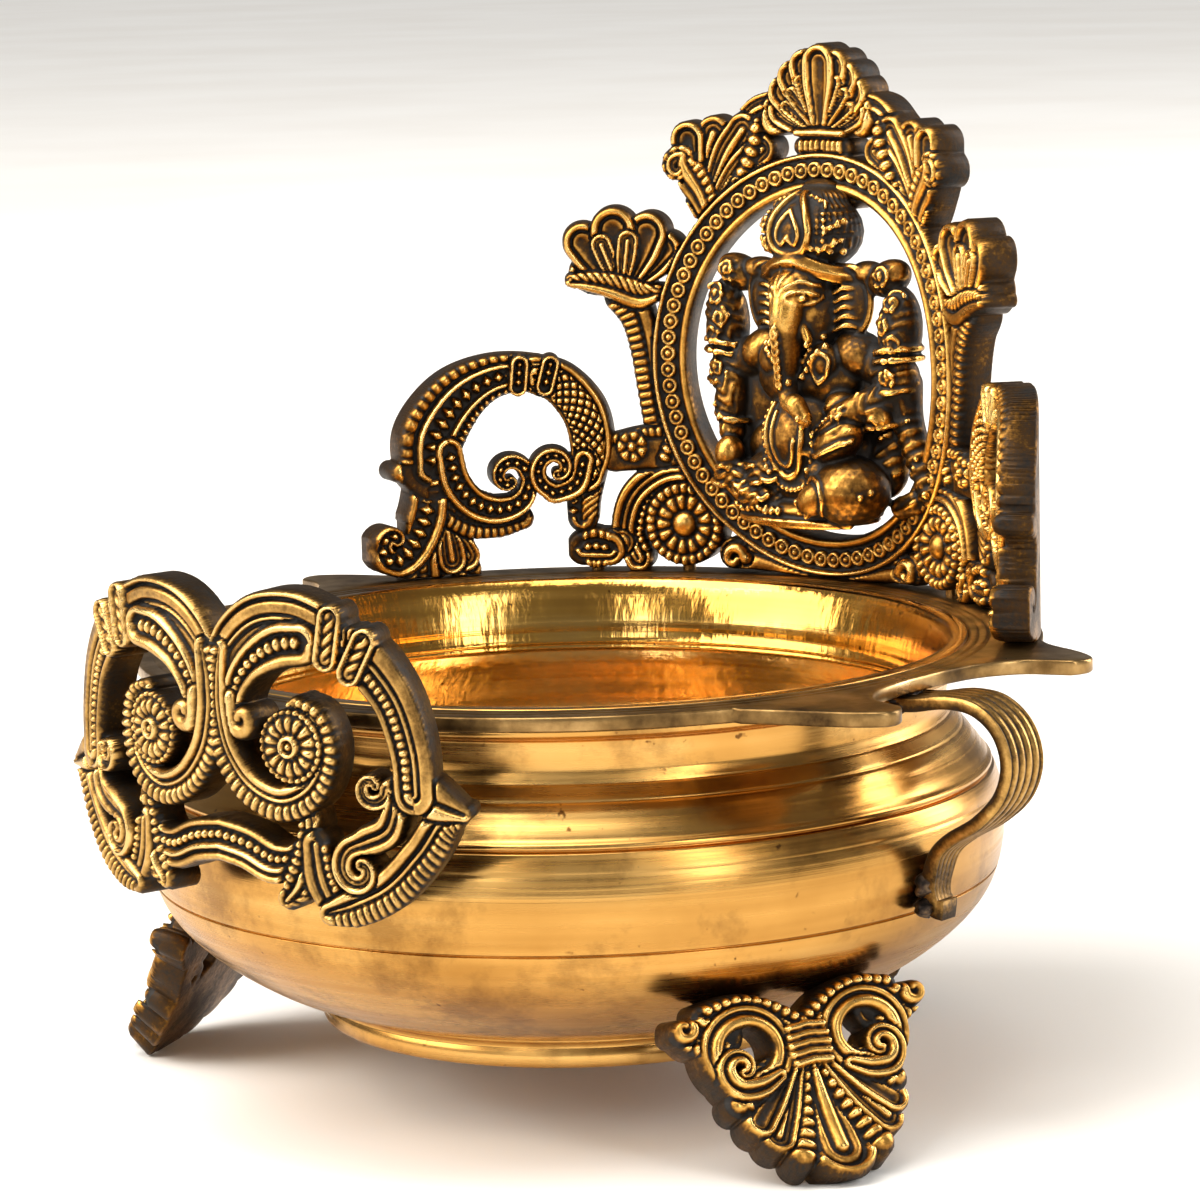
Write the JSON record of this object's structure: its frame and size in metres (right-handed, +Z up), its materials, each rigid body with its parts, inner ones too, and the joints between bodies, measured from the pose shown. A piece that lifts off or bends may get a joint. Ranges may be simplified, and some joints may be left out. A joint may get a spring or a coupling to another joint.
{
  "type": "footed brass urli bowl",
  "caption": "Round brass urli bowl on splayed palmette feet, with a lobed rim collar, strap loops, a pierced front plate and a tall pierced arch that frames a seated elephant-headed figure.",
  "frame": {"origin": "on the ground under the bowl's vertical axis", "axes": "+Z up along the bowl's axis, -Y towards the front plate, +X towards the right-hand loop; the halves mirror across the YZ plane"},
  "size_m": [0.2322, 0.2145, 0.2165],
  "materials": {
    "polished_brass": "turned and polished",
    "antique_brass": "antiqued cast brass, dark patina in the recesses and polished high spots",
    "collar_brass": "worn satin with a brown patina",
    "screw_brass": "plain turned"
  },
  "bodies": {
    "root": {"bowl_body": "polished_brass", "base_ring": "polished_brass", "rim_collar": "collar_brass", "back_arch": "antique_brass", "seated_figure": "antique_brass", "left_wing": "antique_brass", "right_wing": "antique_brass", "front_plate": "antique_brass", "right_loop": "antique_brass", "left_loop": "antique_brass", "back_foot": "antique_brass", "right_foot": "antique_brass", "left_foot": "antique_brass", "arch_screw_1": "screw_brass", "arch_screw_2": "screw_brass", "arch_screw_3": "screw_brass", "arch_screw_4": "screw_brass", "arch_screw_5": "screw_brass", "arch_screw_6": "screw_brass"}
  },
  "joints": []
}
